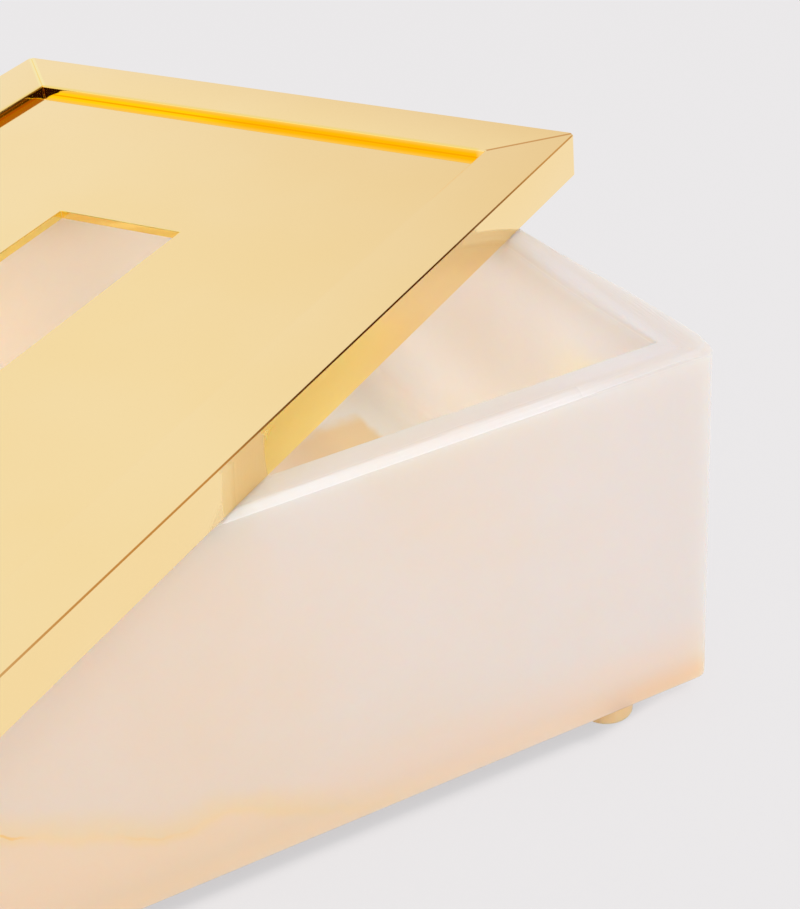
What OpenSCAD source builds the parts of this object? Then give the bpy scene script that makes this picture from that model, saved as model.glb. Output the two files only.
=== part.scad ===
// Low stone box on four soft feet, closed by a loose metal lid with a posting slot.
// The walls and the base are slabs glued at mitred corners. The lid is a mitred frame of
// four grooved bars round a sunk plate. It lies turned on the rim, as when it is set down
// half open, and lifts straight off.
// Millimetres. The origin is on the floor under the middle of the box, +X runs along the
// box to its right end, +Y to its back and +Z up.

/* [Stone box] */
// Outside length of the box
box_l = 308; // [260:1:360]
// Outside width of the box
box_w = 185; // [150:1:220]
// Height of the wall slabs
box_h = 97; // [70:1:150]
// Thickness of the wall slabs
wall_t = 10; // [8:0.5:14]
// Thickness of the base slab
base_t = 10; // [8:0.5:16]
// Radius on the upright corners
corner_r = 3; // [1:0.5:6]
// Polished bevel along the outer edge of the rim
rim_bevel = 1.3; // [0.5:0.1:2.5]
// Bevel along the inner edge of the rim
rim_inner_bevel = 0.5; // [0.2:0.1:1.5]
// Radius along the bottom edge of the walls
hem_r = 2; // [0.5:0.5:4]

/* [Lid frame] */
// How far the lid stands out past the box on each side
lid_over = 1; // [0:0.5:4]
// Angle by which the lid is turned on the rim
lid_turn = 34; // [0:1:60]
// Thickness of the frame bars
bar_h = 12; // [9:0.5:18]
// Width of the frame bars
bar_w = 18.5; // [14:0.5:26]
// Bevel along the outer top edge of the bars
bar_bevel = 0.4; // [0.2:0.1:1]
// Bevel along the other long edges of the bars
bar_break = 0.2; // [0.1:0.1:0.5]
// Depth of the groove that holds the plate
groove_depth = 4; // [2:0.5:8]

/* [Slotted plate] */
// Thickness of the plate
plate_t = 2.3; // [1.5:0.1:3]
// Depth of the plate's top face below the frame
plate_drop = 2.4; // [1:0.1:4]
// Gap between the plate's edge and the bottom of the groove
plate_gap = 0.2; // [0.1:0.1:0.5]
// Length of the posting slot
slot_l = 140; // [90:1:180]
// Width of the posting slot
slot_w = 38.5; // [12:0.5:60]
// Radius in the corners of the slot
slot_r = 0.5; // [0.2:0.1:3]

/* [Feet] */
// Diameter of a foot
foot_d = 16; // [10:0.5:18]
// Height of a foot
foot_h = 4.5; // [2.5:0.5:8]
// Radius round the bottom edge of a foot
foot_r = 1.5; // [0.5:0.5:2]
// Middle of a foot from the end of the box
foot_in_x = 27; // [12:0.5:60]
// Middle of a foot from the long side of the box
foot_in_y = 9; // [9:0.5:40]

/* [Hidden] */

// Overshoot of a cutter past the face that it cuts
cut = 1;
// The rim, where the lid lies
rim_z = foot_h + box_h;
lid_l = box_l + 2 * lid_over;
lid_w = box_w + 2 * lid_over;
// The groove and the plate share these two heights above the underside of the lid
plate_top = bar_h - plate_drop;
plate_bottom = plate_top - plate_t;
plate_l = lid_l - 2 * (bar_w - groove_depth + plate_gap);
plate_w = lid_w - 2 * (bar_w - groove_depth + plate_gap);

STONE = [0.93, 0.86, 0.80];
GOLD = [0.93, 0.80, 0.52];
AMBER = [0.86, 0.70, 0.48];
$fn = 64;

// Turns a piece drawn along the front of a rectangle, length by width, to one of its sides.
module on_side(side, length, width) {
    turn = side == "front" ? 0 : side == "right" ? 90 : side == "back" ? 180 : 270;
    out = (side == "front" || side == "back") ? width / 2 : length / 2;
    rotate([0, 0, turn])
        translate([0, -out, 0])
            children();
}

// A bar with 45 degree mitred ends. Its section is the 2D child, drawn with X from the
// outer face inwards and Y up. The bar lies along X with its outer face on y = 0.
module mitred_bar(length, depth, height) {
    half = length / 2;
    intersection() {
        translate([-half, 0, 0])
            rotate([90, 0, 90])
                linear_extrude(height = length)
                    children();
        linear_extrude(height = height)
            polygon([[-half, 0], [half, 0], [half - depth, depth], [depth - half, depth]]);
    }
}

// ---- Stone box ----

module wall_section() {
    difference() {
        square([wall_t, box_h]);
        // outer and inner bevels of the rim
        translate([0, box_h])
            rotate(45)
                square(rim_bevel * sqrt(2), center = true);
        translate([wall_t, box_h])
            rotate(45)
                square(rim_inner_bevel * sqrt(2), center = true);
        // rounded bottom edge
        difference() {
            translate([-cut, -cut])
                square(hem_r + cut);
            translate([hem_r, hem_r])
                circle(hem_r);
        }
    }
}

// What the mason grinds off the four upright corners
module corner_cutters() {
    for (sx = [-1, 1], sy = [-1, 1])
        translate([sx * (box_l / 2 - corner_r), sy * (box_w / 2 - corner_r), -cut])
            linear_extrude(height = box_h + 2 * cut)
                difference() {
                    translate([sx > 0 ? 0 : -corner_r - cut, sy > 0 ? 0 : -corner_r - cut])
                        square(corner_r + cut);
                    circle(corner_r);
                }
}

module wall(side) {
    length = (side == "front" || side == "back") ? box_l : box_w;
    color(STONE)
        translate([0, 0, foot_h])
            difference() {
                on_side(side, box_l, box_w)
                    mitred_bar(length, wall_t, box_h)
                        wall_section();
                corner_cutters();
            }
}

// The base is glued between the four walls, flush with their bottom edges.
module base_slab() {
    color(STONE)
        translate([wall_t - box_l / 2, wall_t - box_w / 2, foot_h])
            cube([box_l - 2 * wall_t, box_w - 2 * wall_t, base_t]);
}

// ---- Lid ----

// Puts the lid's pieces, drawn with their underside on z = 0, on the rim.
module on_rim() {
    color(GOLD)
        translate([0, 0, rim_z])
            rotate([0, 0, lid_turn])
                children();
}

module bar_section() {
    difference() {
        square([bar_w, bar_h]);
        translate([0, bar_h])
            rotate(45)
                square(bar_bevel * sqrt(2), center = true);
        for (corner = [[bar_w, bar_h], [bar_w, 0], [0, 0]])
            translate(corner)
                rotate(45)
                    square(bar_break * sqrt(2), center = true);
        // groove for the plate's edge
        translate([bar_w - groove_depth, plate_bottom])
            square([groove_depth + cut, plate_t]);
    }
}

module lid_bar(side) {
    length = (side == "front" || side == "back") ? lid_l : lid_w;
    on_rim()
        on_side(side, lid_l, lid_w)
            mitred_bar(length, bar_w, bar_h)
                bar_section();
}

module slot_outline() {
    square([slot_l - 2 * slot_r, slot_w], center = true);
    square([slot_l, slot_w - 2 * slot_r], center = true);
    for (sx = [-1, 1], sy = [-1, 1])
        translate([sx * (slot_l / 2 - slot_r), sy * (slot_w / 2 - slot_r)])
            circle(slot_r);
}

module slotted_plate() {
    on_rim()
        translate([0, 0, plate_bottom])
            linear_extrude(height = plate_t)
                difference() {
                    square([plate_l, plate_w], center = true);
                    slot_outline();
                }
}

// ---- Feet ----

// A soft bumper stuck under the box, with a flat tread inside a rounded edge
module foot(sx, sy) {
    color(AMBER)
        translate([sx * (box_l / 2 - foot_in_x), sy * (box_w / 2 - foot_in_y), 0])
            rotate_extrude()
                union() {
                    square([foot_d / 2 - foot_r, foot_h]);
                    translate([0, foot_r])
                        square([foot_d / 2, foot_h - foot_r]);
                    translate([foot_d / 2 - foot_r, foot_r])
                        circle(foot_r);
                }
}

wall("front");  // front_wall
wall("back");  // back_wall
wall("left");  // left_wall
wall("right");  // right_wall
base_slab();
lid_bar("front");  // lid_front_bar
lid_bar("back");  // lid_back_bar
lid_bar("left");  // lid_left_bar
lid_bar("right");  // lid_right_bar
slotted_plate();
foot(-1, -1);  // foot_front_left
foot(1, -1);  // foot_front_right
foot(-1, 1);  // foot_back_left
foot(1, 1);  // foot_back_right
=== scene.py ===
# %% [markdown]
# # A stone box with a polished gold lid
#
# The object is a low box of pale translucent onyx on four soft bumpers. A gold lid with a posting
# slot lies turned on its rim. The frame that is loaded here gives every size and every place. This
# lesson starts from them and adds what a frame lacks: eased and worn edges, the depth of the stone,
# the shine of the metal and the light of a studio.

# %% Load the frame
import math

import bmesh
import bpy
from mathutils import Matrix, Quaternion, Vector, noise


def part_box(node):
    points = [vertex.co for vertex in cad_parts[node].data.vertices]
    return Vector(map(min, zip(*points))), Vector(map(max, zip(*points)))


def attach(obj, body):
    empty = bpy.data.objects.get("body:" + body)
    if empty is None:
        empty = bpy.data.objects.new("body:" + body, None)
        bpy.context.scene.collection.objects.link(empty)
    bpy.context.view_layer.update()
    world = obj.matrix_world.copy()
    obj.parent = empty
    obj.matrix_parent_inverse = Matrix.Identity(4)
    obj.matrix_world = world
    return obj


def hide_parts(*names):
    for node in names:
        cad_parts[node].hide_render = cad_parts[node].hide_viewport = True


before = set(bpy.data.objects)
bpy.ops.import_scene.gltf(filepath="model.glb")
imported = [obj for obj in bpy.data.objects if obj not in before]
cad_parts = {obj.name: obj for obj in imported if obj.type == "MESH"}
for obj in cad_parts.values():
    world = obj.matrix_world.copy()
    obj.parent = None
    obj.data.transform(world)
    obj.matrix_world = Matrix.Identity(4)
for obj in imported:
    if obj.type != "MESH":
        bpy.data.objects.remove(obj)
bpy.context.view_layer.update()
MM = 0.001
scene = bpy.context.scene

# %% [markdown]
# ## The camera
#
# A camera can be typed in as a place and three angles, but those numbers say little. Here it is
# described as it is set up in a studio: a point on the rim to aim at, a distance, how far round and
# how high the tripod stands, and how much the camera is tipped on its side.

# %% Aim the camera
CAMERA_AIM = Vector((72.75, -91.53, 101.5)) * MM
CAMERA_DISTANCE = 444.45 * MM
CAMERA_ROUND = math.radians(-24.79)
CAMERA_ABOVE = math.radians(32.357)
CAMERA_TIP = math.radians(5.295)
LENS_MM = 80.02

away = Vector((
    math.sin(CAMERA_ROUND) * math.cos(CAMERA_ABOVE),
    -math.cos(CAMERA_ROUND) * math.cos(CAMERA_ABOVE),
    math.sin(CAMERA_ABOVE),
))
camera_data = bpy.data.cameras.new("camera")
camera_data.lens = LENS_MM
camera = bpy.data.objects.new("camera", camera_data)
camera.rotation_mode = "QUATERNION"
camera.location = CAMERA_AIM + away * CAMERA_DISTANCE
camera.rotation_quaternion = (-away).to_track_quat("-Z", "Y") @ Quaternion((0, 0, 1), -CAMERA_TIP)
scene.collection.objects.link(camera)
scene.camera = camera
print("camera at", [round(c, 4) for c in camera.location])

# %% [markdown]
# ## Sizes from the frame
#
# The stone box is square to the frame, so the boxes round its slabs give its sizes at once. The lid
# is turned on the rim. Its corners are turned back first, and then they too give plain sizes.

# %% Measure the stone
front_low, front_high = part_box("front_wall")
BOX_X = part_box("right_wall")[1].x
BOX_Y = -front_low.y
HEM_Z = front_low.z
RIM_Z = front_high.z
FLOOR_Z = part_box("base_slab")[1].z
WALL = front_high.y - front_low.y
print("stone half length and width in mm:", round(BOX_X / MM, 2), round(BOX_Y / MM, 2))

# %% Measure the lid
LID_TURN = math.radians(34)
LID_PLACE = Matrix.Translation((0, 0, RIM_Z)) @ Matrix.Rotation(LID_TURN, 4, "Z")
MIDDLE_SHARE = 0.75


def lid_corners(node):
    """A lid node's corners, turned back so that the lid is square and its underside is at zero."""
    back = LID_PLACE.inverted()
    return [back @ vertex.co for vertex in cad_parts[node].data.vertices]


bar_corners = lid_corners("lid_front_bar")
plate_corners = lid_corners("slotted_plate")
LID_X = max(corner.x for corner in bar_corners)
LID_Y = -min(corner.y for corner in bar_corners)
BAR_H = max(corner.z for corner in bar_corners)
BAR_W = LID_Y + max(corner.y for corner in bar_corners)
PLATE_X = max(corner.x for corner in plate_corners)
PLATE_Y = max(corner.y for corner in plate_corners)
PLATE_LOW = min(corner.z for corner in plate_corners)
PLATE_TOP = max(corner.z for corner in plate_corners)
# Only the slot has corners in the middle of the plate
NEAR_X = MIDDLE_SHARE * PLATE_X
NEAR_Y = MIDDLE_SHARE * PLATE_Y
slot_corners = [c for c in plate_corners if abs(c.x) < NEAR_X and abs(c.y) < NEAR_Y]
SLOT_X = max(corner.x for corner in slot_corners)
SLOT_Y = max(corner.y for corner in slot_corners)
print("lid half length and width in mm:", round(LID_X / MM, 2), round(LID_Y / MM, 2))
print("bar width and height in mm:", round(BAR_W / MM, 2), round(BAR_H / MM, 2))
print("slot half length and width in mm:", round(SLOT_X / MM, 2), round(SLOT_Y / MM, 2))

# %% [markdown]
# ## Writing a finish as sums
#
# A finish is a tree of nodes, and placing nodes one by one hides the idea. Two small classes make the
# tree read like a sum. A Wire is one output of a node, and Python's signs on it add the maths nodes.
# A Recipe owns the tree, and one method of it adds any other node: settings first, then sockets.


# %% Wires that can be added and multiplied
class Wire:
    """One output of a node. Sums on values add Math nodes, sums on colours Vector Math nodes."""

    def __init__(self, recipe, socket):
        self.recipe = recipe
        self.socket = socket

    def joined(self, operation, first, second):
        parts = [part for part in (first, second) if isinstance(part, Wire)]
        plain = all(part.socket.type == "VALUE" for part in parts)
        kind = "ShaderNodeMath" if plain else "ShaderNodeVectorMath"
        return self.recipe.node(kind, {"operation": operation}, {0: first, 1: second})

    def __add__(self, other):
        return self.joined("ADD", self, other)

    def __radd__(self, other):
        return self.joined("ADD", other, self)

    def __sub__(self, other):
        return self.joined("SUBTRACT", self, other)

    def __rsub__(self, other):
        return self.joined("SUBTRACT", other, self)

    def __mul__(self, other):
        return self.joined("MULTIPLY", self, other)

    def __rmul__(self, other):
        return self.joined("MULTIPLY", other, self)

    def size(self):
        """The value without its sign."""
        return self.recipe.node("ShaderNodeMath", {"operation": "ABSOLUTE"}, {0: self})

    def dot(self, other):
        settings = {"operation": "DOT_PRODUCT"}
        return self.recipe.node("ShaderNodeVectorMath", settings, {0: self, 1: other}, "Value")

    def rise(self, low, high):
        """0 below low, 1 above high and an eased slope between them. It falls where low is above high."""
        settings = {"interpolation_type": "SMOOTHSTEP"}
        ends = {"Value": self, "From Min": min(low, high), "From Max": max(low, high)}
        eased = self.recipe.node("ShaderNodeMapRange", settings, ends)
        return eased if low < high else 1 - eased

    def beside(self, name):
        """Another output of the same node."""
        return Wire(self.recipe, self.socket.node.outputs[name])


print("wires know:", ["+", "-", "*", "size", "dot", "rise", "beside"])


# %% Colours as a paint card gives them
def srgb(red, green, blue):
    """A colour of 0 to 255, turned into the linear light that shaders use."""
    shares = [part / 255 for part in (red, green, blue)]
    return [s / 12.92 if s <= 0.04045 else ((s + 0.055) / 1.055) ** 2.4 for s in shares] + [1]


print("middle grey is", [round(part, 3) for part in srgb(128, 128, 128)])


# %% Recipes that hold the node tree
class Recipe:
    """The node tree of one finish, or of the studio round the object."""

    def __init__(self, owner):
        owner.use_nodes = True
        self.tree = owner.node_tree
        self.tree.nodes.clear()

    def node(self, kind, settings=None, sockets=None, output=0):
        made = self.tree.nodes.new(kind)
        for name, value in (settings or {}).items():
            setattr(made, name, value)
        for name, value in (sockets or {}).items():
            self.feed(made.inputs[name], value)
        return Wire(self, made.outputs[output]) if made.outputs else None

    def feed(self, socket, value):
        listed = hasattr(value, "__len__")
        if isinstance(value, Wire):
            self.tree.links.new(value.socket, socket)
        elif hasattr(socket.default_value, "__len__") and not listed:
            socket.default_value = [value] * len(socket.default_value)
        else:
            socket.default_value = value[: len(socket.default_value)] if listed else value

    def mix(self, share, first, second):
        """The first colour where share is 0 and the second where it is 1."""
        sockets = {0: share, 6: first, 7: second}
        return self.node("ShaderNodeMix", {"data_type": "RGBA"}, sockets, 2)

    def millimetres(self):
        """The place of a point in its own piece, in millimetres."""
        return self.node("ShaderNodeTexCoord", output="Object") * (1 / MM)

    def clouds(self, place, grain, detail=2, rough=0.5, twist=0):
        """Soft noise from about 0.3 to 0.7 whose lumps are about grain millimetres across."""
        sockets = {"Vector": place, "Scale": 1 / grain, "Detail": detail}
        sockets.update({"Roughness": rough, "Distortion": twist})
        return self.node("ShaderNodeTexNoise", None, sockets, "Fac")

    def bump(self, height, depth):
        """A surface normal tilted by a height from 0 to 1 that stands for depth metres."""
        return self.node("ShaderNodeBump", None, {"Height": height, "Distance": depth}, "Normal")


def finish(name):
    """A new material and its recipe."""
    material = bpy.data.materials.new(name)
    return material, Recipe(material)


print("recipes know:", ["node", "mix", "millimetres", "clouds", "bump"])

# %% [markdown]
# ## Lofts
#
# Both the box and the lid's plate are rings of points stacked inside one another: a rectangle with
# rounded corners that shrinks, grows and climbs. Modelling them as lofted rings, and not as cubes cut
# by other cubes, keeps the mesh in even four-sided faces, so that small bevels and hand-cut wobbles
# can be put where they belong. Rounded edges are quarter turns of a few steps. An edge that bends by
# more than a given angle stays sharp, and over all other edges the shading runs on smoothly.

# %% Rings
STEPS_TURN = 6
RING_CORNERS = [(1, -1, -90), (1, 1, 0), (-1, 1, 90), (-1, -1, 180)]


def quarter(steps):
    """The angles of a quarter turn in so many steps."""
    return [math.radians(90 * step / steps) for step in range(steps + 1)]


def ring(half_x, half_y, radius, z, steps_x, steps_y):
    """Points round a rectangle with rounded corners, anticlockwise seen from above."""
    points = []
    for index, (side_x, side_y, start) in enumerate(RING_CORNERS):
        middle = Vector((side_x * (half_x - radius), side_y * (half_y - radius), z))
        for step in range(STEPS_TURN + 1):
            angle = math.radians(start + 90 * step / STEPS_TURN)
            points.append(middle + radius * Vector((math.cos(angle), math.sin(angle), 0)))
        next_x, next_y, next_start = RING_CORNERS[(index + 1) % len(RING_CORNERS)]
        next_middle = Vector((next_x * (half_x - radius), next_y * (half_y - radius), z))
        angle = math.radians(next_start)
        far = next_middle + radius * Vector((math.cos(angle), math.sin(angle), 0))
        steps = steps_y if index % 2 == 0 else steps_x
        near = points[-1]
        points += [near.lerp(far, step / steps) for step in range(1, steps)]
    return points


print("a ring turns each corner in", STEPS_TURN, "steps")

# %% Lofts through rings
SOFT_ANGLE = math.radians(33)
CRISP_ANGLE = math.radians(12)


def skin(mesh, pairs):
    """Four-sided faces between the two rows of corners in each pair."""
    for lower, upper in pairs:
        for index in range(len(lower)):
            after = (index + 1) % len(lower)
            mesh.faces.new((lower[index], lower[after], upper[after], upper[index]))


def finished(name, mesh, crisp):
    """Turns a working mesh into an object. Edges that bend by more than the crisp angle stay sharp."""
    bmesh.ops.recalc_face_normals(mesh, faces=mesh.faces)
    data = bpy.data.meshes.new(name)
    mesh.to_mesh(data)
    mesh.free()
    data.shade_smooth()
    data.set_sharp_from_angle(angle=crisp)
    piece = bpy.data.objects.new(name, data)
    scene.collection.objects.link(piece)
    print(name, "has", len(data.polygons), "faces")
    return piece


def loft(name, rings, closed=False, crisp=SOFT_ANGLE):
    """A solid through a stack of rings. A closed one joins its last ring to its first."""
    mesh = bmesh.new()
    rows = [[mesh.verts.new(point) for point in points] for points in rings]
    skin(mesh, zip(rows, rows[1:] + rows[:1]) if closed else zip(rows, rows[1:]))
    if not closed:
        mesh.faces.new(list(reversed(rows[0])))
        mesh.faces.new(rows[-1])
    return finished(name, mesh, crisp)


print("stone stays sharp above", round(math.degrees(SOFT_ANGLE)), "degrees")

# %% [markdown]
# ## The right slab
#
# The real box is glued from four slabs and a base and then ground and polished as one. Hand-sawn
# slabs are never quite true. The right one leans out by a few millimetres at its front corner, most
# of all at the rim, and is hollow by half a millimetre in the middle. A deform modifier could bend
# it, but moving each point by an eased amount gives the shape in a few lines, and it moves the hem
# least, where the base holds the slab.

# %% Lean and bow
# Millimetres outwards at the rim, and the places along the slab between which each comes or goes
FRONT_BOW = 2.6
FRONT_FADE = (-90, -35)
HOLLOW = 0.5
HOLLOW_RISE = (-25, -5)
BACK_BOW = 0.6
BACK_RISE = (10, 90)
# Shares of that at the hem, and what is added on the way up
HEM_SHARE = 0.25
LOW_SHARE = 0.5
LOW_RISE = (5, 24)
HIGH_SHARE = 0.25
HIGH_RISE = (45, 75)


def eased(value, low, high):
    """0 below low, 1 above high and an eased slope between them."""
    share = min(1, max(0, (value - low) / (high - low)))
    return share * share * (3 - 2 * share)


def bowed(point):
    """Moves a point of the stone outwards, as the right slab leans and bows."""
    y = point.y / MM
    z = point.z / MM
    bow = FRONT_BOW - FRONT_BOW * eased(y, *FRONT_FADE)
    bow = bow - HOLLOW * eased(y, *HOLLOW_RISE) + BACK_BOW * eased(y, *BACK_RISE)
    lean = HEM_SHARE + LOW_SHARE * eased(z, *LOW_RISE) + HIGH_SHARE * eased(z, *HIGH_RISE)
    point.x += bow * lean * MM * eased(point.x, 0, BOX_X)


print("the right slab leans out by up to", FRONT_BOW, "mm")

# %% [markdown]
# ## The rim
#
# A mason eases the rim by hand, so the width and the drop of its bevel wander along each side. On the
# front the bevel widens towards the right and closes again at the corner, which has lost a small
# nick. On the right slab it is worn round in the middle, and the inner edge is worn there too. A bevel
# modifier would give one width all round. Instead two functions tell the bevel and the inner edge at
# any place on the rim, and the rings that follow ask them.

# %% Hand-ground bevel
# Sizes in millimetres, and the places along a side between which each comes
LEAST_BEVEL = 0.2
PLAIN_WIDTH = 1.5
PLAIN_DROP = 1.3
FRONT_WIDTH = 2.2
WIDER = 1.1
WIDER_RISE = (45, 95)
CLOSED = 2.6
CLOSED_RISE = (132, 153)
FLATTER = 0.85
FLATTER_RISE = (105, 150)
NICK = 1.2
NICK_RISE_X = (143, 152)
NICK_RISE_Y = (-84, -91)
END_BEVEL = 0.35
END_WORN = 2.7
END_WORN_RISE = (-62, -8)
END_LESS = 1.6
END_LESS_RISE = (5, 70)
# How far each size wobbles, and over what length
PLAIN_WOBBLE = (0.3, 9)
FRONT_WIDTH_WOBBLE = (0.2, 9)
FRONT_DROP_WOBBLE = (0.05, 5)
END_WIDTH_WOBBLE = (0.15, 6)
END_DROP_WOBBLE = (0.1, 5)
QUICKER = 0.25
QUICK_SHARE = 0.5


def wobble(point, size, grain):
    """A slow and a quick wobble together, of about so many millimetres over a length of grain."""
    slow = noise.noise(point / (grain * MM))
    quick = noise.noise(point / (QUICKER * grain * MM))
    return size * (slow + QUICK_SHARE * quick)


def on_right_end(point):
    """Whether a point of the rim lies on the right slab, past the mitres."""
    return BOX_X - point.x < BOX_Y - abs(point.y)


def on_front(point):
    """Whether a point of the rim lies on the front half and not past the left mitre."""
    return point.y <= 0 and BOX_X + point.x >= BOX_Y - abs(point.y)


def rim_bevel(point):
    """Width and drop in metres of the bevel that the mason ground at this place on the rim."""
    x = point.x / MM
    y = point.y / MM
    nick = NICK * eased(x, *NICK_RISE_X) * eased(y, *NICK_RISE_Y)
    if on_right_end(point):
        worn = END_BEVEL + END_WORN * eased(y, *END_WORN_RISE) - END_LESS * eased(y, *END_LESS_RISE) + nick
        width = max(LEAST_BEVEL, worn + wobble(point, *END_WIDTH_WOBBLE))
        drop = max(LEAST_BEVEL, worn + wobble(point, *END_DROP_WOBBLE))
    elif on_front(point):
        width = FRONT_WIDTH + WIDER * eased(x, *WIDER_RISE) - CLOSED * eased(x, *CLOSED_RISE) + nick
        width = width + wobble(point, *FRONT_WIDTH_WOBBLE)
        drop = PLAIN_DROP - FLATTER * eased(x, *FLATTER_RISE) + nick + wobble(point, *FRONT_DROP_WOBBLE)
    else:
        width = PLAIN_WIDTH + wobble(point, *PLAIN_WOBBLE)
        drop = PLAIN_DROP
    return width * MM, drop * MM


front_middle = Vector((0, -BOX_Y, RIM_Z))
print("bevel at the middle of the front in mm:", [round(side / MM, 2) for side in rim_bevel(front_middle)])

# %% Worn inner edge
INNER_EDGE = 0.35
INNER_WORN = 2.2
INNER_WORN_RISE = (-84, -55)


def inner_ease(point):
    """Radius in metres of the inner edge of the rim, which is worn round on the right slab."""
    worn = INNER_WORN * eased(point.y / MM, *INNER_WORN_RISE) if on_right_end(point) else 0
    return (INNER_EDGE + worn) * MM


print("inner edge at the middle of the front in mm:", round(inner_ease(front_middle) / MM, 2))

# %% [markdown]
# ## The stone box
#
# No joint of the real box shows outside. A shader that lets light travel inside the stone would show
# a dark seam wherever two closed slabs touch. The box is therefore one loft: from the underside out
# to the hem, up the outside, over the rim and down to a hollow fillet round the floor inside. A fine
# V under the box is all that shows of the joint between the base and the walls.

# %% Rings of the box
CORNER = 3.2 * MM
LEAST_CORNER = 0.5 * MM
SPACING = 1.25 * MM
STEPS_X = round(2 * BOX_X / SPACING)
STEPS_Y = round(2 * BOX_Y / SPACING)


def plain_ring(inset, radius, z):
    return ring(BOX_X - inset, BOX_Y - inset, radius, z, STEPS_X, STEPS_Y)


def box_ring(inset, z):
    """One ring of the box at an inset from its outside."""
    points = plain_ring(inset, max(CORNER - inset, LEAST_CORNER), z)
    for point in points:
        bowed(point)
    return points


def rim_ring(across, down, past):
    """A ring on the bevel, at shares of its width and drop, and so far past it."""
    points = plain_ring(0, CORNER, RIM_Z)
    inner = plain_ring(WALL, LEAST_CORNER, RIM_Z)
    for index, point in enumerate(points):
        width, drop = rim_bevel(point)
        inward = (across * width + past) / WALL
        points[index] = point.lerp(inner[index], inward)
        points[index].z = RIM_Z - down * drop
        bowed(points[index])
    return points


def inner_ring(across, down):
    """A ring on the eased inner edge, at shares of its radius outwards and down."""
    points = plain_ring(WALL, LEAST_CORNER, RIM_Z)
    outer = plain_ring(0, CORNER, RIM_Z)
    for index, point in enumerate(points):
        ease = inner_ease(point)
        points[index] = point.lerp(outer[index], across * ease / WALL)
        points[index].z = RIM_Z - down * ease
        bowed(points[index])
    return points


print("a ring of the box has", len(box_ring(0, RIM_Z)), "points")

# %% Stack the rings
BASE_V = 0.15 * MM
HEM = 0.6 * MM
EDGE_STEPS = 4
UPRIGHT = 5 * MM
ROLL = 0.5 * MM
# Share of the bevel's width, share of its drop, and how many rolls past it
BEVEL_RINGS = [(0, 1.1, 0), (0, 1, 0), (0.4, 0.6, 0), (0.8, 0.2, 0), (1, 0.06, 0.5), (1, 0, 2)]
BESIDE_EDGE = 1.6
FILLET = 7 * MM
FILLET_STEPS = 6
ON_FLOOR = 1.5

rings = [box_ring(WALL + BASE_V, HEM_Z), box_ring(WALL, HEM_Z + BASE_V), box_ring(WALL - BASE_V, HEM_Z)]
for turn in quarter(EDGE_STEPS):
    rings.append(box_ring(HEM * (1 - math.sin(turn)), HEM_Z + HEM * (1 - math.cos(turn))))
rings.append(box_ring(0, RIM_Z - UPRIGHT))
rings += [rim_ring(across, down, rolls * ROLL) for across, down, rolls in BEVEL_RINGS]
rings.append(inner_ring(BESIDE_EDGE, 0))
rings += [inner_ring(1 - math.sin(turn), 1 - math.cos(turn)) for turn in quarter(EDGE_STEPS)]
rings.append(inner_ring(0, BESIDE_EDGE))
for turn in quarter(FILLET_STEPS):
    rings.append(box_ring(WALL + FILLET * (1 - math.cos(turn)), FLOOR_Z + FILLET * (1 - math.sin(turn))))
rings.append(box_ring(WALL + ON_FLOOR * FILLET, FLOOR_Z))
stone = loft("onyx_box", rings)
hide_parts("front_wall", "back_wall", "left_wall", "right_wall", "base_slab")
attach(stone, "box")

# %% [markdown]
# ## The clouds of the stone
#
# Pink onyx is pale and slightly see-through. A picture could be wrapped round the box, but it would
# break at the corners. Here every pattern is worked out from the place in the stone, so that it runs
# through the corners as it does in a real block. Two noises, one broad and one fine, make the clouds
# and bend the edges of the layers. The ground colour shades from a greyish rose at the right to peach
# at the left. Each pair of places, in millimetres, says where a tint begins and where it is full.

# %% Where a point of the stone is
CLOUD_GRAIN = 58
WISP_GRAIN = 17

onyx, recipe = finish("pink_onyx")
place = recipe.millimetres()
x = recipe.node("ShaderNodeSeparateXYZ", None, {0: place}, "X")
y = x.beside("Y")
z = x.beside("Z")
clouds = recipe.clouds(place, CLOUD_GRAIN, detail=3, twist=0.6)
wisps = recipe.clouds(place, WISP_GRAIN, detail=4, rough=0.55, twist=0.4)
broad = clouds - 0.5
fine = wisps - 0.5
print("clouds and wisps in mm:", CLOUD_GRAIN, WISP_GRAIN)

# %% Rose to peach
ROSE = srgb(236, 229, 225)
PEACH = srgb(238, 224, 207)
WARM_LEFT = (175, -40)
WARM_SHARE = 0.75
BROAD_WARMTH = 1.1
FINE_WARMTH = 0.25
COOL_CORNER_X = (118, 150)
COOL_CORNER_Y = (-15, -70)
COOL_CORNER_SHARE = 0.3
COOL_TOP_X = (125, 145)
COOL_TOP_Z = (55, 95)
COOL_TOP_SHARE = 0.35
ROSE_TO_PEACH = (-0.05, 0.95)

warmth = x.rise(*WARM_LEFT) * WARM_SHARE + broad * BROAD_WARMTH + fine * FINE_WARMTH
warmth = warmth - x.rise(*COOL_CORNER_X) * y.rise(*COOL_CORNER_Y) * COOL_CORNER_SHARE
warmth = warmth - x.rise(*COOL_TOP_X) * z.rise(*COOL_TOP_Z) * COOL_TOP_SHARE
colour = recipe.mix(warmth.rise(*ROSE_TO_PEACH), ROSE, PEACH)
print("nodes so far:", len(recipe.tree.nodes))
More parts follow.
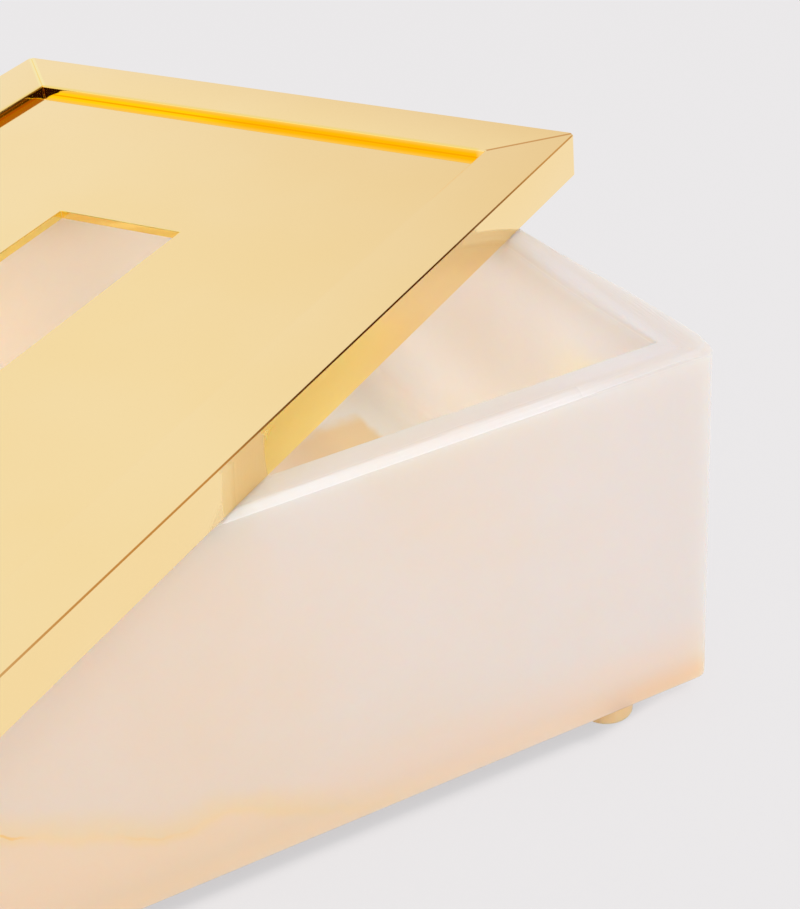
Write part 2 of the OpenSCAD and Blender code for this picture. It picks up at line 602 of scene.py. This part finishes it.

# %% [markdown]
# ## The honey layer
#
# A honey-coloured layer fills the low left part of the block and ends at a slant. Its upper side is a
# tilted plane, made of z with shares of x and y. The noises make it ragged, and a dip and a hump are
# put in. Everything else about the layer asks one value: how high a point lies above it.

# %% Honey
HONEY = srgb(255, 222, 170)
HONEY_SHARE = 0.35
HONEY_EDGE = (2, -1.5)
SLANT_X = 0.38
SLANT_Y = 0.2
LAYER_TOP = 9.5
BROAD_EDGE = 14
FINE_EDGE = 9
DIP = 3.2
DIP_LEFT = (-40, -14)
DIP_RIGHT = (18, 2)
HUMP = 3.4
HUMP_LEFT = (10, 20)
HUMP_RIGHT = (48, 26)

dip = x.rise(*DIP_LEFT) * x.rise(*DIP_RIGHT) * DIP
hump = x.rise(*HUMP_LEFT) * x.rise(*HUMP_RIGHT) * HUMP
above_layer = z + x * SLANT_X + y * SLANT_Y + broad * BROAD_EDGE + fine * FINE_EDGE
above_layer = above_layer + (dip - hump) - LAYER_TOP
colour = recipe.mix(above_layer.rise(*HONEY_EDGE) * HONEY_SHARE, colour, HONEY)
print("nodes so far:", len(recipe.tree.nodes))

# %% [markdown]
# ## The hem and the inside
#
# Light that has come through a lot of stone is warm, and it leaves at the hem. A warm tint stands for
# it, deepest at the right end. The inner faces at the right end don't get that tint. They are
# cooler under the rim and creamy in the front corner. Near the floor they are painted paler, a
# painted light that lifts the shade at the foot of the walls and on the floor inside.

# %% Hem
HEM_TINT = srgb(255, 222, 188)
AMBER_HEM = srgb(255, 196, 146)
HEM_RISE = (30, 5)
WARM_HEM_SHARE = 0.6
AMBER_RISE = (15, 5)
AMBER_RIGHT = (105, 140)
AMBER_LEAST = 0.1
AMBER_MORE = 0.4
INSIDE_X = (150, 148)
INSIDE_Y = (89, 87)
INNER_RIGHT = (100, 132)

inner_end = x.size().rise(*INSIDE_X) * y.size().rise(*INSIDE_Y) * x.rise(*INNER_RIGHT)
colour = recipe.mix(z.rise(*HEM_RISE) * (1 - inner_end) * WARM_HEM_SHARE, colour, HEM_TINT)
amber_hem = z.rise(*AMBER_RISE) * (AMBER_LEAST + x.rise(*AMBER_RIGHT) * AMBER_MORE) * (1 - inner_end)
colour = recipe.mix(amber_hem, colour, AMBER_HEM)
print("nodes so far:", len(recipe.tree.nodes))

# %% Inner faces at the right end
FROST = srgb(242, 238, 242)
FROST_RISE = (55, 92)
FROST_SHARE = 0.75
INNER_FLOOR_LIGHT = srgb(255, 237, 225)
INNER_FLOOR_LIGHT_RISE = (30, 15)
INNER_FLOOR_LIGHT_SHARE = 0.9
CREAM = srgb(255, 240, 213)
CREAM_FRONT = (-28, -60)
CREAM_RISE = (90, 74)

colour = recipe.mix(inner_end * z.rise(*FROST_RISE) * FROST_SHARE, colour, FROST)
# Painted light: the inner faces at the right end are paler near the floor, against the shade there.
colour = recipe.mix(inner_end * z.rise(*INNER_FLOOR_LIGHT_RISE) * INNER_FLOOR_LIGHT_SHARE, colour, INNER_FLOOR_LIGHT)
colour = recipe.mix(inner_end * y.rise(*CREAM_FRONT) * z.rise(*CREAM_RISE), colour, CREAM)
print("nodes so far:", len(recipe.tree.nodes))

# %% [markdown]
# ## The vein
#
# The edge of the honey layer is an ochre thread, clear at the left and broken elsewhere, where it
# shows only in some of the clouds. A thin yellow haze hangs above it. Both are found from the height
# above the layer, so they follow its every bend. On the floor of the box a tan patch with the same
# ragged edge is painted.

# %% Haze and thread
VEIN = srgb(250, 222, 150)
HAZE_TOP = (10, 1)
HAZE_BASE = (-4, 0)
HAZE_SHARE = 0.35
HAZE_THINNER = (30, 60)
HAZE_LESS = 0.7
OCHRE = srgb(250, 204, 96)
THREAD = (0.8, 0.1)
THREAD_LEFT = (-24, -30)
THREAD_CLOUDS = (0.5, 0.6)
THREAD_BROKEN = 0.3
THREAD_SHARE = 0.55

haze = above_layer.rise(*HAZE_TOP) * above_layer.rise(*HAZE_BASE)
haze = haze * (1 - x.rise(*HAZE_THINNER) * HAZE_LESS)
colour = recipe.mix(haze * HAZE_SHARE, colour, VEIN)
thread = x.rise(*THREAD_LEFT) + clouds.rise(*THREAD_CLOUDS) * THREAD_BROKEN
thread = above_layer.size().rise(*THREAD) * thread
colour = recipe.mix(thread * THREAD_SHARE, colour, OCHRE)
print("nodes so far:", len(recipe.tree.nodes))

# %% Tan patch in the floor
TAN = srgb(246, 208, 149)
TAN_SHARE = 0.8
PATCH_LEFT = (80, 122)
PATCH_RIGHT = (132, 129)
PATCH_FRONT = (-70, -30)
PATCH_BACK = (64, 56)
PATCH_DEEP = (2, 0.6)
RAGGED_X = 6
RAGGED_Y = 14

patch = (x + fine * RAGGED_X).rise(*PATCH_RIGHT) * x.rise(*PATCH_LEFT)
patch = patch * (y + fine * RAGGED_Y).rise(*PATCH_BACK) * y.rise(*PATCH_FRONT)
patch = patch * (z - FLOOR_Z / MM).size().rise(*PATCH_DEEP)
colour = recipe.mix(patch * TAN_SHARE, colour, TAN)
print("nodes so far:", len(recipe.tree.nodes))

# %% [markdown]
# ## The polish of the stone
#
# Light goes into onyx, wanders and comes out warmer, so the skin is all subsurface scattering under a
# smooth polish, and the hem is given a faint glow, painted light for the light that leaves it. The
# flat of the rim is honed and not polished: it is duller and keeps fine strokes along each slab. Near
# the rim the stone is painted greyer towards the right, a painted shade that holds back the light that
# falls on the top there. The strokes are noise at a place that is squeezed along the slab. On the two
# ends the squeeze changes from x to y.

# %% Strokes on the rim
RIM_SHADE = srgb(222, 210, 205)
RIM_SHADE_RIGHT = (20, 120)
RIM_SHADE_SHARE = 0.5
RIM = RIM_Z / MM
ALONG = 0.06
ACROSS = 0.9
AT_MITRE = (-0.5, 0.5)
STROKE_GRAIN = 0.5
POLISH_GRAIN = 6
POLISH_HEIGHT = 0.5
STROKE_HEIGHT = 1.3

near_rim = z.rise(RIM - 2, RIM - 1)
honed = z.rise(RIM - 0.05, RIM - 0.01)
# Painted shade: the top of the rim is greyer towards the right.
colour = recipe.mix(near_rim * x.rise(*RIM_SHADE_RIGHT) * RIM_SHADE_SHARE, colour, RIM_SHADE)
past_mitres = x.size() - y.size() - (BOX_X - BOX_Y) / MM
at_end = past_mitres.rise(*AT_MITRE) * (ACROSS - ALONG)
squeezed = recipe.node("ShaderNodeCombineXYZ", None, {
    "X": x * (ALONG + at_end), "Y": y * (ACROSS - at_end), "Z": z * ACROSS,
})
strokes = recipe.clouds(squeezed, STROKE_GRAIN)
polish = recipe.clouds(place, POLISH_GRAIN, detail=3) * POLISH_HEIGHT
polish = polish + strokes * near_rim * STROKE_HEIGHT
print("nodes so far:", len(recipe.tree.nodes))

# %% Onyx
BLACK = srgb(0, 0, 0)
# Painted light: a faint glow at the hem stands for light let through the stone.
HEM_GLOW = srgb(86, 46, 0)
GLOW_RISE = (13, 4.5)
POLISHED = 0.16
WISPS_DULLER = 0.1
HONED_DULLER = 0.25
DULL_RIGHT = (112, 135)
CORNER_DULLER = 0.4
COAT = 0.25
POLISH_DEPTH = 0.06 * MM

rough = POLISHED + fine * WISPS_DULLER + honed * HONED_DULLER
onyx_skin = recipe.node("ShaderNodeBsdfPrincipled", None, {
    "Base Color": colour,
    "Emission Color": recipe.mix(z.rise(*GLOW_RISE), BLACK, HEM_GLOW),
    "Emission Strength": 1.0,
    "Roughness": rough + near_rim * x.rise(*DULL_RIGHT) * CORNER_DULLER,
    "IOR": 1.5,
    "Normal": recipe.bump(polish, POLISH_DEPTH),
    "Subsurface Weight": 1.0,
    "Subsurface Radius": (1.0, 0.8, 0.62),
    "Subsurface Scale": 0.012,
    "Coat Weight": (1 - honed) * COAT,
    "Coat Roughness": 0.08,
})
recipe.node("ShaderNodeOutputMaterial", None, {"Surface": onyx_skin})
stone.data.materials.append(onyx)
print("onyx uses", len(recipe.tree.nodes), "nodes")

# %% [markdown]
# ## The gold frame
#
# Four brass bars are cut at 45 degrees, brazed into a frame and plated. Each bar has a groove along
# its inner side for the plate. A bar could be a box with its corners cut off, but the joint would then
# vanish, because two flat faces meet in one plane. Here every bar is its section drawn at a few
# stations near each end. The last one is a hair smaller, which leaves the fine V where the mitres
# meet. Between them the outer face curves in, because the lid's upright corners are filed round.

# %% The section of a bar
BAR_BEVEL = 0.32 * MM
BAR_BREAK = 0.2 * MM
INNER_ROUND = 0.5 * MM
LEAST_ROUND = 0.02 * MM
GROOVE_CLEAR = 0.2 * MM
GROOVE_BACK = LID_Y - PLATE_Y - GROOVE_CLEAR
ARC_STEPS = 5


def bar_section(shrink):
    """The section from the outer face inwards and up, with every face moved in by shrink."""
    inner = BAR_W - shrink
    back = GROOVE_BACK - shrink
    corners = [
        (shrink, shrink, BAR_BREAK, 180), (inner, shrink, BAR_BREAK, 270),
        (inner, PLATE_LOW - shrink, 0, 0), (back, PLATE_LOW - shrink, 0, 0),
        (back, PLATE_TOP + shrink, 0, 0), (inner, PLATE_TOP + shrink, 0, 0),
        (inner, BAR_H - shrink, INNER_ROUND, 0), (shrink, BAR_H - shrink, BAR_BEVEL, 90),
    ]
    points = []
    for across, up, ease, start in corners:
        if not ease:
            points.append((across, up))
            continue
        radius = max(ease - shrink, LEAST_ROUND)
        first = math.radians(start)
        last = math.radians(start + 90)
        middle_across = across - radius * (math.cos(first) + math.cos(last))
        middle_up = up - radius * (math.sin(first) + math.sin(last))
        steps = 1 if ease == BAR_BEVEL else ARC_STEPS
        for step in range(steps + 1):
            angle = math.radians(start + 90 * step / steps)
            points.append((middle_across + radius * math.cos(angle), middle_up + radius * math.sin(angle)))
    return points


print("the section of a bar has", len(bar_section(0)), "points")

# %% The stations of a bar
CORNER_ROUND = 1.3 * MM
MITRE_V = 0.2 * MM
MITRE_PULL = MITRE_V * math.sqrt(2)
PLAIN_END = 3 * MITRE_V


def round_corner(across, half, share):
    """Place along and across the bar of a section point, a share of the way round the lid's corner."""
    if across > CORNER_ROUND:
        return half - across - (1 - share) * BAR_BREAK, across
    turn = math.radians(45 * share)
    reach = CORNER_ROUND - across
    return half - CORNER_ROUND + reach * math.sin(turn), CORNER_ROUND - reach * math.cos(turn)


# At one end: share of the way round the corner, shrink, and pull back along the bar
end = [(0, 0, PLAIN_END)] + [(step / ARC_STEPS, 0, 0) for step in range(ARC_STEPS + 1)]
end.append((1, MITRE_V, -MITRE_PULL))
stations = [(-1,) + station for station in reversed(end)] + [(1,) + station for station in end]
print("a bar has", len(stations), "stations")


# %% Four mitred bars
def mitred_bar(name, half, out, turn):
    """A bar of half length half whose outer face is out from the lid's middle, turned to its side."""
    mesh = bmesh.new()
    rows = []
    for side, share, shrink, pull in stations:
        row = []
        for across, up in bar_section(shrink):
            along, across = round_corner(across, half - MITRE_PULL, share)
            row.append(mesh.verts.new(Vector((side * (along - pull), across - out, up))))
        rows.append(row)
    skin(mesh, zip(rows, rows[1:]))
    mesh.faces.new(rows[0])
    mesh.faces.new(list(reversed(rows[-1])))
    mesh.transform(Matrix.Rotation(math.radians(turn), 4, "Z"))
    piece = finished(name, mesh, CRISP_ANGLE)
    piece.matrix_world = LID_PLACE
    return piece


bars = {
    "lid_front_bar": mitred_bar("gold_front_bar", LID_X, LID_Y, 0),
    "lid_right_bar": mitred_bar("gold_right_bar", LID_Y, LID_X, 90),
    "lid_back_bar": mitred_bar("gold_back_bar", LID_X, LID_Y, 180),
    "lid_left_bar": mitred_bar("gold_left_bar", LID_Y, LID_X, 270),
}

# %% [markdown]
# ## The slotted plate
#
# The plate is a sheet that slides into the grooves before the last bar closes the frame. It could be a
# slab with a smaller box cut out of it, but a cut leaves long thin faces, which spoil a mirror finish
# as soon as an edge is eased. So it is one loft that goes round: over the top to the slot, down
# through the slot with its edges eased, and back underneath.

# %% The plate and its slot
SLOT_EASE = 0.15 * MM
SLOT_EASE_STEPS = 3
SLOT_CORNER = 0.15 * MM
EDGE_CORNER = 0.3 * MM
PLATE_STEPS_X = 40
PLATE_STEPS_Y = 24


def plate_ring(half_x, half_y, radius, height):
    return ring(half_x, half_y, radius, height, PLATE_STEPS_X, PLATE_STEPS_Y)


def slot_edge(height, sign):
    """Rings round one eased edge of the slot, from the face of the plate to the wall of the slot."""
    edge = []
    for turn in quarter(SLOT_EASE_STEPS):
        out = SLOT_EASE * (1 - math.sin(turn))
        into = SLOT_EASE * (1 - math.cos(turn))
        edge.append(plate_ring(SLOT_X + out, SLOT_Y + out, SLOT_CORNER + out, height + sign * into))
    return edge


plate_rings = [
    plate_ring(PLATE_X, PLATE_Y, EDGE_CORNER, PLATE_LOW),
    plate_ring(PLATE_X, PLATE_Y, EDGE_CORNER, PLATE_TOP),
] + slot_edge(PLATE_TOP, -1) + slot_edge(PLATE_LOW, 1)[::-1]
plate = loft("gold_slotted_plate", plate_rings, closed=True, crisp=CRISP_ANGLE)
plate.matrix_world = LID_PLACE

# %% [markdown]
# ## The finish of the gold
#
# Polished gold plate is a mirror with a colour. Nearly all that it shows is the room, so the finish
# needs a true gold tint, a very low roughness and the faint unevenness that buffing leaves. Light that
# bounces between two gold faces takes the tint again each time. Deep in the step round the plate and
# in the slot it bounces very often. Following every bounce would be slow, so those walls get tints of
# their own, a saturated one at the joint of the step and paler ones higher up and in the slot.

# %% Where a point of the lid is
BUFFING_GRAIN = 45
SMEAR_GRAIN = 12

gold, recipe = finish("polished_gold")
place = recipe.millimetres()
x = recipe.node("ShaderNodeSeparateXYZ", None, {0: place}, "X")
y = x.beside("Y")
z = x.beside("Z")
buffing = recipe.clouds(place, BUFFING_GRAIN)
smears = recipe.clouds(place, SMEAR_GRAIN, detail=4, rough=0.6, twist=0.8)


def past(half_x, half_y):
    """Millimetres from the sides of an upright opening, below zero inside it."""
    past_x = x.size() - half_x / MM
    past_y = y.size() - half_y / MM
    return recipe.node("ShaderNodeMath", {"operation": "MAXIMUM"}, {0: past_x, 1: past_y})


past_wall = past(LID_X - BAR_W, LID_Y - BAR_W)
above_plate = z - PLATE_TOP / MM
print("the step is", round((BAR_H - PLATE_TOP) / MM, 2), "mm high")

# %% Step round the plate
GOLD = srgb(252, 225, 165)
DEEP_GOLD = srgb(250, 210, 110)
DEEPER = (0.3, 0.75)
DEEPER_SHARE = 0.12
JOINT_GOLD = srgb(247, 200, 8)
WALL_GOLD = srgb(251, 231, 162)
JOINT_TO_TOP = (0.75, 3.3)
WALL_OUTER = (1.4, 0.5)
WALL_INNER = (-0.6, -0.3)
WALL_BASE = (-0.1, -0.02)
NOT_FRONT_BAR = (-74, -72)

colour = recipe.mix(buffing.rise(*DEEPER) * DEEPER_SHARE, GOLD, DEEP_GOLD)
step_wall = past_wall.rise(*WALL_OUTER) * past_wall.rise(*WALL_INNER)
step_wall = step_wall * above_plate.rise(*WALL_BASE) * y.rise(*NOT_FRONT_BAR)
step_gold = recipe.mix(above_plate.rise(*JOINT_TO_TOP), JOINT_GOLD, WALL_GOLD)
colour = recipe.mix(step_wall, colour, step_gold)
print("nodes so far:", len(recipe.tree.nodes))

# %% [markdown]
# ## Bright and dark lines of the gold
#
# The plate is at its brightest in a strip beside the back step, where the step throws light on it.
# The brazed mitres are fine lines. At the front the braze and the shade in its V are painted a little
# darker than the gold; at the back the line is paler and wider, a painted gleam. Thin extra pieces
# would make them too hard, so they too are tints with soft edges.

# %% Strip, slot and mitres
STEP_SHINE = srgb(255, 252, 236)
STRIP_FAR = (-3.4, -1.8)
STRIP_NEAR = (-0.3, -0.7)
ON_PLATE = (0.1, 0.02)
TO_BACK_STRIP = (0, 20)
SLOT_GOLD = srgb(255, 228, 132)
SLOT_END_GOLD = srgb(255, 236, 150)
SLOT_WALL = (0.25, 0.1)
SLOT_HALF = SLOT_X / MM
BRAZE_AND_SHADE = srgb(214, 160, 92)
BRAZE_GLEAM = srgb(255, 236, 168)
TO_BACK = (-20, 20)
SEAM = (0.8, 0.45)
SEAM_WIDER = 0.5
SEAM_ON_BAR = (0.4, 0.6)

by_step = past_wall.rise(*STRIP_FAR) * past_wall.rise(*STRIP_NEAR)
by_step = by_step * above_plate.size().rise(*ON_PLATE) * y.rise(*TO_BACK_STRIP)
colour = recipe.mix(by_step, colour, STEP_SHINE)
at_slot_end = x.size().rise(SLOT_HALF - 0.3, SLOT_HALF - 0.2)
slot_gold = recipe.mix(at_slot_end, SLOT_GOLD, SLOT_END_GOLD)
colour = recipe.mix(past(SLOT_X, SLOT_Y).size().rise(*SLOT_WALL), colour, slot_gold)
past_mitre = (x.size() - LID_X / MM) - (y.size() - LID_Y / MM)
to_seam = past_mitre.size() * (1 - y.rise(*TO_BACK) * SEAM_WIDER)
seam = to_seam.rise(*SEAM) * past_wall.rise(*SEAM_ON_BAR)
# Painted seam: braze and shade darker at the front, a paler painted gleam at the back.
colour = recipe.mix(seam, colour, recipe.mix(y.rise(*TO_BACK), BRAZE_AND_SHADE, BRAZE_GLEAM))
print("nodes so far:", len(recipe.tree.nodes))

# %% Gold
BUFFED = 0.045
SMEARED = (0.45, 0.75)
SMEARS_DULLER = 0.03
STEP_ROUND = (0.9, 2.5)
STEP_HEIGHT = 2.2
BUFF_DEPTH = 0.02 * MM

gold_skin = recipe.node("ShaderNodeBsdfPrincipled", None, {
    "Base Color": colour,
    "Metallic": 1.0,
    "Roughness": BUFFED + smears.rise(*SMEARED) * SMEARS_DULLER,
    "Normal": recipe.bump(buffing + above_plate.rise(*STEP_ROUND) * STEP_HEIGHT, BUFF_DEPTH),
})
recipe.node("ShaderNodeOutputMaterial", None, {"Surface": gold_skin})
for node, piece in list(bars.items()) + [("slotted_plate", plate)]:
    piece.data.materials.append(gold)
    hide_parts(node)
    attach(piece, "lid")
print("gold uses", len(recipe.tree.nodes), "nodes")

# %% [markdown]
# ## The feet
#
# Four clear amber bumpers are stuck under the box, by hand and a little further out than the frame
# has them. A bumper could be a squashed cylinder, but its edges would then be hard. It is turned from
# a short profile: a flat back, a slightly tapered side, a rounded shoulder and a flat tread.

# %% Bumpers
FOOT_STEPS = 48
FOOT_SLIMMER = 1 * MM
FOOT_OUT_X = 0.7 * MM
FOOT_OUT_Y = 1.5 * MM
FOOT_BACK = 0.94
FOOT_BACK_DROP = 0.35 * MM
FOOT_TAPER = 0.2 * MM
FOOT_SHOULDER = 0.5 * MM
FOOT_SHOULDER_STEPS = 6


def bumper(name, node):
    """A turned foot that fills the place of its node."""
    low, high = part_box(node)
    middle = (low + high) / 2
    middle.x += math.copysign(FOOT_OUT_X, middle.x)
    middle.y += math.copysign(FOOT_OUT_Y, middle.y)
    radius = (high.x - low.x) / 2 - FOOT_SLIMMER
    height = high.z - low.z
    profile = [(FOOT_BACK * radius, 0), (radius, -FOOT_BACK_DROP)]
    for turn in quarter(FOOT_SHOULDER_STEPS):
        across = radius - FOOT_TAPER - FOOT_SHOULDER * (1 - math.cos(turn))
        profile.append((across, FOOT_SHOULDER * (1 - math.sin(turn)) - height))
    turns = [math.tau * step / FOOT_STEPS for step in range(FOOT_STEPS)]
    rows = []
    for across, drop in profile:
        circle = [(middle.x + across * math.cos(turn), middle.y + across * math.sin(turn)) for turn in turns]
        rows.append([Vector((*point, high.z + drop)) for point in circle])
    return loft(name, rows)


print("a bumper is turned in", FOOT_STEPS, "steps")

# %% Amber rubber
AMBER = srgb(250, 208, 152)
PALE_AMBER = srgb(242, 214, 172)
RUBBER_GRAIN = 0.8
RUBBER_HAZE = 6
HAZY = (0.35, 0.7)
HAZY_SHARE = 0.4
RUBBED = 0.38
GRAIN_DULLER = 0.2
RUBBER_DEPTH = 0.03 * MM

amber, recipe = finish("amber_bumper")
place = recipe.millimetres()
grain = recipe.clouds(place, RUBBER_GRAIN, detail=3)
cloudy = recipe.clouds(place, RUBBER_HAZE)
amber_skin = recipe.node("ShaderNodeBsdfPrincipled", None, {
    "Base Color": recipe.mix(cloudy.rise(*HAZY) * HAZY_SHARE, AMBER, PALE_AMBER),
    "Roughness": RUBBED + (grain - 0.5) * GRAIN_DULLER,
    "IOR": 1.48,
    "Normal": recipe.bump(grain, RUBBER_DEPTH),
    "Subsurface Weight": 0.7,
    "Subsurface Radius": (1.0, 0.7, 0.4),
    "Subsurface Scale": 0.003,
})
recipe.node("ShaderNodeOutputMaterial", None, {"Surface": amber_skin})
for corner in ("front_left", "front_right", "back_left", "back_right"):
    foot = bumper("bumper_" + corner, "foot_" + corner)
    foot.data.materials.append(amber)
    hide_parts("foot_" + corner)
    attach(foot, "box")

# %% [markdown]
# ## The floor
#
# The box stands on a very large pale sheet. A sheet that is only lit shows each lamp as a bright pool.
# Seen directly or in the gold this one mostly shines by itself, so it stays even to the horizon, and
# it is darker only where the box comes close, as ambient occlusion finds. By the right end the shade
# is kept thinner. For all other light the sheet is plain paper.

# %% Floor
FLOOR_HALF = 30.0
FLOOR_CORNERS = [(-1, -1, 0), (1, -1, 0), (1, 1, 0), (-1, 1, 0)]

floor_mesh = bpy.data.meshes.new("floor")
floor_points = [FLOOR_HALF * Vector(corner) for corner in FLOOR_CORNERS]
floor_mesh.from_pydata(floor_points, [], [(0, 1, 2, 3)])
floor = bpy.data.objects.new("floor", floor_mesh)
scene.collection.objects.link(floor)
print("floor is", 2 * FLOOR_HALF, "m wide")

# %% Paper
PAPER = srgb(236, 234, 235)
SHADE = srgb(209, 209, 211)
CONTACT = 9 * MM
SHADE_TO_PAPER = (0.46, 0.8)
OPEN_END = (116, 142)
OPEN_SHARE = 0.34
OWN_LIGHT = 0.88
MIRRORED_MORE = 0.14

paper, recipe = finish("pale_sheet")
uncovered = recipe.node("ShaderNodeAmbientOcclusion", {"samples": 16}, {"Distance": CONTACT}, "AO")
on_sheet = recipe.node("ShaderNodeSeparateXYZ", None, {0: recipe.millimetres()}, "X")
uncovered = uncovered + on_sheet.rise(*OPEN_END) * OPEN_SHARE
shade = recipe.mix(uncovered.rise(*SHADE_TO_PAPER), SHADE, PAPER)
seen = recipe.node("ShaderNodeLightPath", output="Is Camera Ray")
mirrored = seen.beside("Is Glossy Ray")
own_strength = 1 + mirrored * MIRRORED_MORE
shining = recipe.node("ShaderNodeEmission", None, {"Color": shade, "Strength": own_strength})
lit = recipe.node("ShaderNodeBsdfDiffuse", None, {"Color": PAPER})
own_share = (seen + mirrored).rise(0, 1) * OWN_LIGHT
paper_skin = recipe.node("ShaderNodeMixShader", None, {0: own_share, 1: lit, 2: shining})
recipe.node("ShaderNodeOutputMaterial", None, {"Surface": paper_skin})
floor.data.materials.append(paper)
print("paper uses", len(recipe.tree.nodes), "nodes")

# %% [markdown]
# ## The sky
#
# An even sky, a little brighter from the sides than from the top, lights the stone. A mirror shows
# the room, so for the gold the sky is painted as a studio: white walls that turn warmer to the right,
# and cards. There are tan and dark cards low at the right, a dark one beside the camera, and bright
# ones at the left, at the back and overhead. A card is a soft round patch, found from the angle
# between its direction and the direction that is looked at.

# %% Even sky
SIDE_LIGHT = (0.95, 0.95, 0.95, 1)
TOP_LIGHT = (0.72, 0.72, 0.72, 1)
SIDE_TO_TOP = (0.2, 1.0)

world = bpy.data.worlds.new("studio")
scene.world = world
recipe = Recipe(world)
heading = recipe.node("ShaderNodeTexCoord", output="Generated")
even = recipe.mix(heading.dot((0, 0, 1)).rise(*SIDE_TO_TOP), SIDE_LIGHT, TOP_LIGHT)
print("sky from the side and the top:", SIDE_LIGHT[0], TOP_LIGHT[0])

# %% Studio in the mirror
WHITE_WALL = srgb(247, 247, 250)
WARM_WALL = srgb(226, 206, 180)
WARM_TURN = 60
WHITE_TO_WARM = (0.62, 0.98)
# Degrees round from the back to the right, degrees up, half the width, the blur, and the colour
CARDS = [
    (92, 29, 6, 12, srgb(200, 156, 104)),
    (88, 28, 2, 5, srgb(84, 46, 6)),
    (98, 21.5, 4, 3, srgb(184, 124, 62)),
    (98, 16, 2, 3, srgb(48, 30, 14)),
    (197, 21, 6, 6, srgb(44, 26, 8)),
    (270, 22.5, 10, 8, (1.12, 1.1, 1.05, 1)),
    (44, 10, 5, 6, (1.6, 1.5, 1.3, 1)),
    (85, 74, 16, 14, (2.9, 3.5, 4.2, 1)),
]


def toward(turn, rise):
    """The direction so many degrees round from the back towards the right, and so many up."""
    flat = math.cos(math.radians(rise))
    return (
        math.sin(math.radians(turn)) * flat,
        math.cos(math.radians(turn)) * flat,
        math.sin(math.radians(rise)),
    )


def card(turn, rise, half, blur):
    """1 on a round card of so many degrees in that direction, with a soft edge."""
    outer = math.cos(math.radians(half + blur))
    return heading.dot(toward(turn, rise)).rise(outer, math.cos(math.radians(half)))


mirror = recipe.mix(heading.dot(toward(WARM_TURN, 0)).rise(*WHITE_TO_WARM), WHITE_WALL, WARM_WALL)
for turn, rise, half, blur, paint in CARDS:
    mirror = recipe.mix(card(turn, rise, half, blur), mirror, paint)
seen = recipe.node("ShaderNodeLightPath", output="Is Camera Ray")
light = recipe.mix(seen.beside("Is Glossy Ray"), even, mirror)
light = recipe.mix(seen, light, PAPER)
background = recipe.node("ShaderNodeBackground", None, {"Color": light, "Strength": 1.0})
recipe.node("ShaderNodeOutputWorld", None, {"Surface": background})
print("cards in the mirror:", len(CARDS))

# %% [markdown]
# ## The softbox
#
# One softbox, high and to the right of the camera, lights the bevel of the rim. A bright patch in the
# sky could do the same, but a lamp is sampled better and can be moved by its place. The gold doesn't
# show it, because its mirror has cards of its own.

# %% Softbox
SOFTBOX_PLACE = Vector((0.40, -0.79, 1.1))
SOFTBOX_AIM = Vector((0.06, -0.05, 0.1))
SOFTBOX_WIDE = 0.44
SOFTBOX_HIGH = 0.3
SOFTBOX_GLOW = 6.5
WHITE_LIGHT = (1.0, 1.0, 1.0)


def panel(name, place, way, wide, tall, glow, tint):
    """A lit rectangle that shines one way and that neither the camera nor a mirror shows."""
    lamp = bpy.data.lights.new(name, "AREA")
    lamp.shape = "RECTANGLE"
    lamp.size = wide
    lamp.size_y = tall
    lamp.energy = glow * math.pi * wide * tall
    lamp.color = tint
    piece = bpy.data.objects.new(name, lamp)
    piece.location = place
    piece.rotation_mode = "QUATERNION"
    piece.rotation_quaternion = Vector(way).to_track_quat("-Z", "Y")
    piece.visible_camera = False
    piece.visible_glossy = False
    scene.collection.objects.link(piece)
    print(name, "in watts:", round(lamp.energy, 3))


softbox_way = SOFTBOX_AIM - SOFTBOX_PLACE
panel("softbox", SOFTBOX_PLACE, softbox_way, SOFTBOX_WIDE, SOFTBOX_HIGH, SOFTBOX_GLOW, WHITE_LIGHT)

# %% [markdown]
# ## Light inside the box
#
# Real onyx passes light through its walls, so the inside of the box is nearly as bright as the
# outside, even under the lid. Following light through slabs this thick would take a great many
# samples. Instead six unseen panes of cool light hang inside the box. Five light one inner face each,
# and a low one lights the foot of the right slab.

# %% Panes of light
PANE_TINT = (0.73, 0.89, 1.0)
LONG_SIDE_GLOW = 0.45
RIGHT_GLOW = 0.14
LEFT_GLOW = 0.9
FLOOR_GLOW = 0.68
CORNER_GLOW = 0.56
PANE_MARGIN = 8 * MM
PANE_TOP = RIM_Z - 4 * MM
PANE_BASE = FLOOR_Z + 2 * MM
INNER_X = BOX_X - WALL - PANE_MARGIN
INNER_Y = BOX_Y - WALL - PANE_MARGIN
MIDDLE = (PANE_TOP + PANE_BASE) / 2
TALL = PANE_TOP - PANE_BASE
FROM_END = 90 * MM
LONG = 2 * (BOX_X - FROM_END)
DEEP = 2 * INNER_Y
CORNER_SPOT = (BOX_X - 34 * MM, 0, FLOOR_Z + 24 * MM)
CORNER_WAY = (1, 0, -0.4)
CORNER_TALL = 26 * MM

panes = [
    ("floor", (0, 0, PANE_TOP), (0, 0, -1), 2 * INNER_X, DEEP, FLOOR_GLOW),
    ("right", (BOX_X - FROM_END, 0, MIDDLE), (1, 0, 0), DEEP, TALL, RIGHT_GLOW),
    ("left", (FROM_END - BOX_X, 0, MIDDLE), (-1, 0, 0), DEEP, TALL, LEFT_GLOW),
    ("back", (0, 0, MIDDLE), (0, 1, 0), LONG, TALL, LONG_SIDE_GLOW),
    ("front", (0, 0, MIDDLE), (0, -1, 0), LONG, TALL, LONG_SIDE_GLOW),
    ("corner", CORNER_SPOT, CORNER_WAY, DEEP, CORNER_TALL, CORNER_GLOW),
]
for name, spot, way, wide, tall, glow in panes:
    panel("glow_to_" + name, spot, way, wide, tall, glow, PANE_TINT)

# %% [markdown]
# ## The view transform
#
# The picture is read as it is written, so the plain view transform is used.

# %% Plain view transform
scene.view_settings.view_transform = "Standard"
